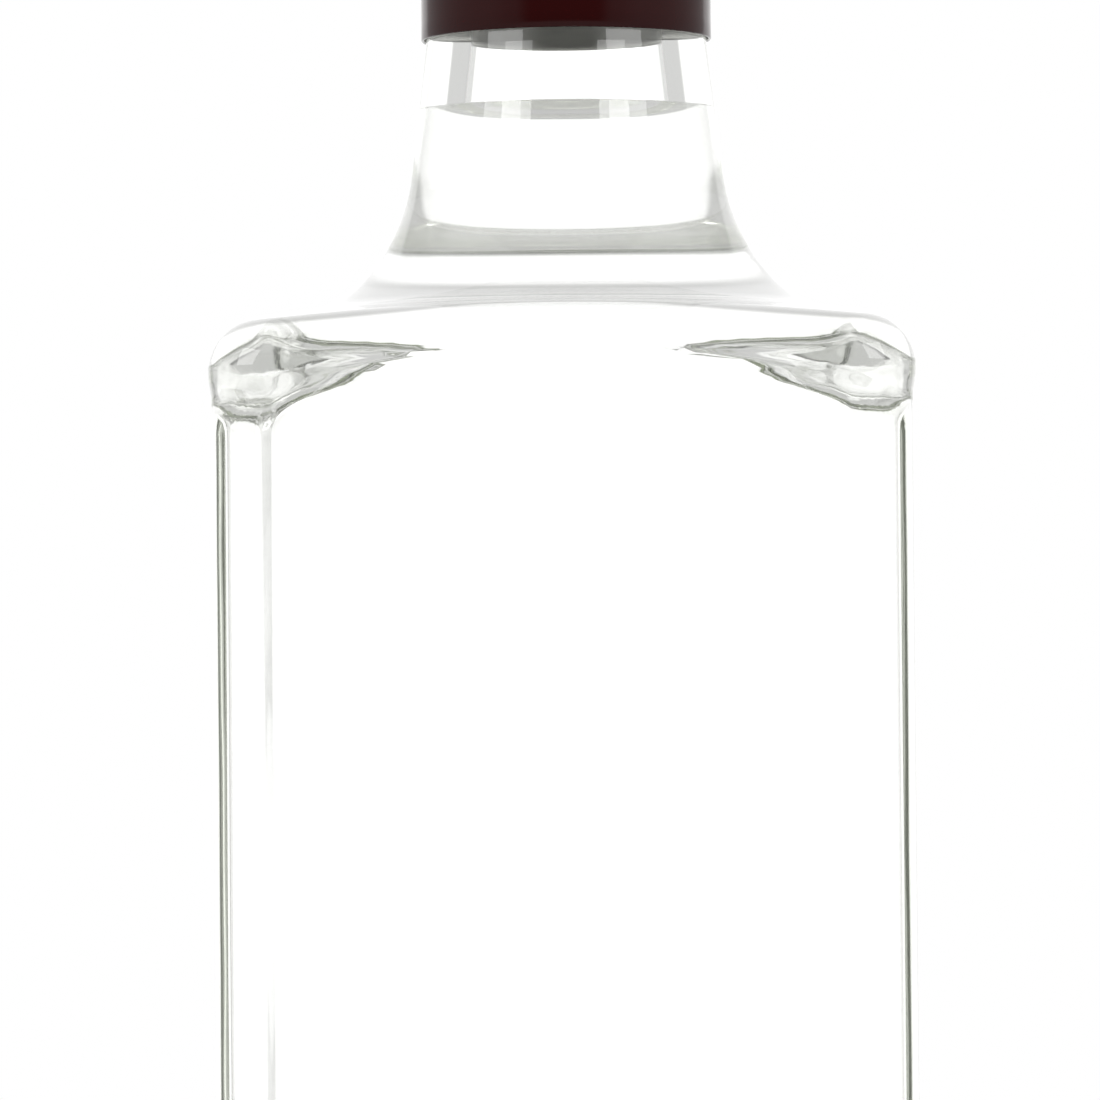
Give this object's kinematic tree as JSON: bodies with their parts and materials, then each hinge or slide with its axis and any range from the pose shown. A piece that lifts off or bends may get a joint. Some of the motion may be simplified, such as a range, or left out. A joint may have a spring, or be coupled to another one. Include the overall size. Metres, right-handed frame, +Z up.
{
  "type": "rum bottle",
  "caption": "Square clear glass bottle with a domed shoulder and flared neck, filled with clear rum, closed by a burgundy aluminium screw cap.",
  "frame": {"origin": "middle of the base, on the plane the bottle stands on", "axes": "+Z up through the neck, +X to the bottle's side, front face towards -Y"},
  "size_m": [0.0706, 0.0706, 0.2553],
  "materials": {
    "flint_glass": "clear polished flint glass with a faint green cast",
    "white_rum": "clear colourless spirit",
    "cap_lacquer": "glossy dark burgundy lacquer on thin aluminium, bare inside"
  },
  "bodies": {
    "root": {"bottle_glass": "flint_glass", "rum": "white_rum", "screw_cap": "cap_lacquer"}
  },
  "joints": []
}
